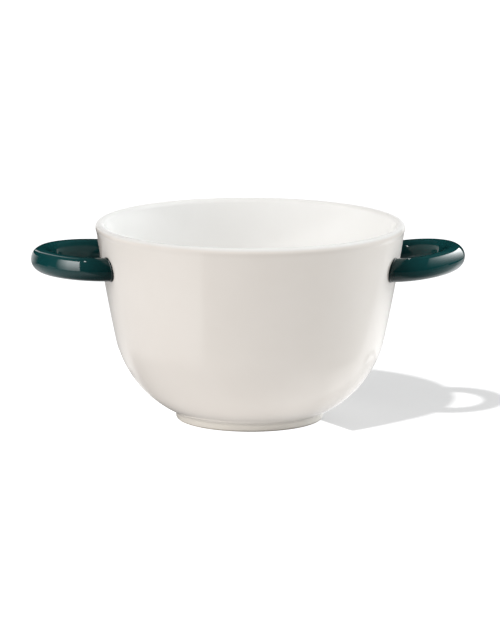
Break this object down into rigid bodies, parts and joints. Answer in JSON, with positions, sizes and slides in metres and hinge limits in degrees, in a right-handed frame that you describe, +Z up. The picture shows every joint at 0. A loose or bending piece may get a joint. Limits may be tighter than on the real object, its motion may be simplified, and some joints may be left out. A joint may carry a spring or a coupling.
{
  "type": "bowl",
  "caption": "Deep round ceramic soup bowl on a foot ring, with two round-rod loop handles luted to its flared wall below the rim.",
  "frame": {"origin": "on the bowl's axis, in the plane that the foot ring stands on", "axes": "+Z up along the bowl's axis, +X through the right handle, -Y to the front"},
  "size_m": [0.1819, 0.13, 0.0833],
  "materials": {
    "white_glaze": "clear gloss glaze on warm white porcelain",
    "green_glaze": "gloss, deep bottle-green glaze",
    "pooled_glaze": "gloss, darker where the glaze pools"
  },
  "bodies": {
    "root": {"bowl_body": "white_glaze", "left_handle": "green_glaze", "right_handle": "green_glaze", "left_front_lute": "pooled_glaze", "left_rear_lute": "pooled_glaze", "right_front_lute": "pooled_glaze", "right_rear_lute": "pooled_glaze"}
  },
  "joints": []
}
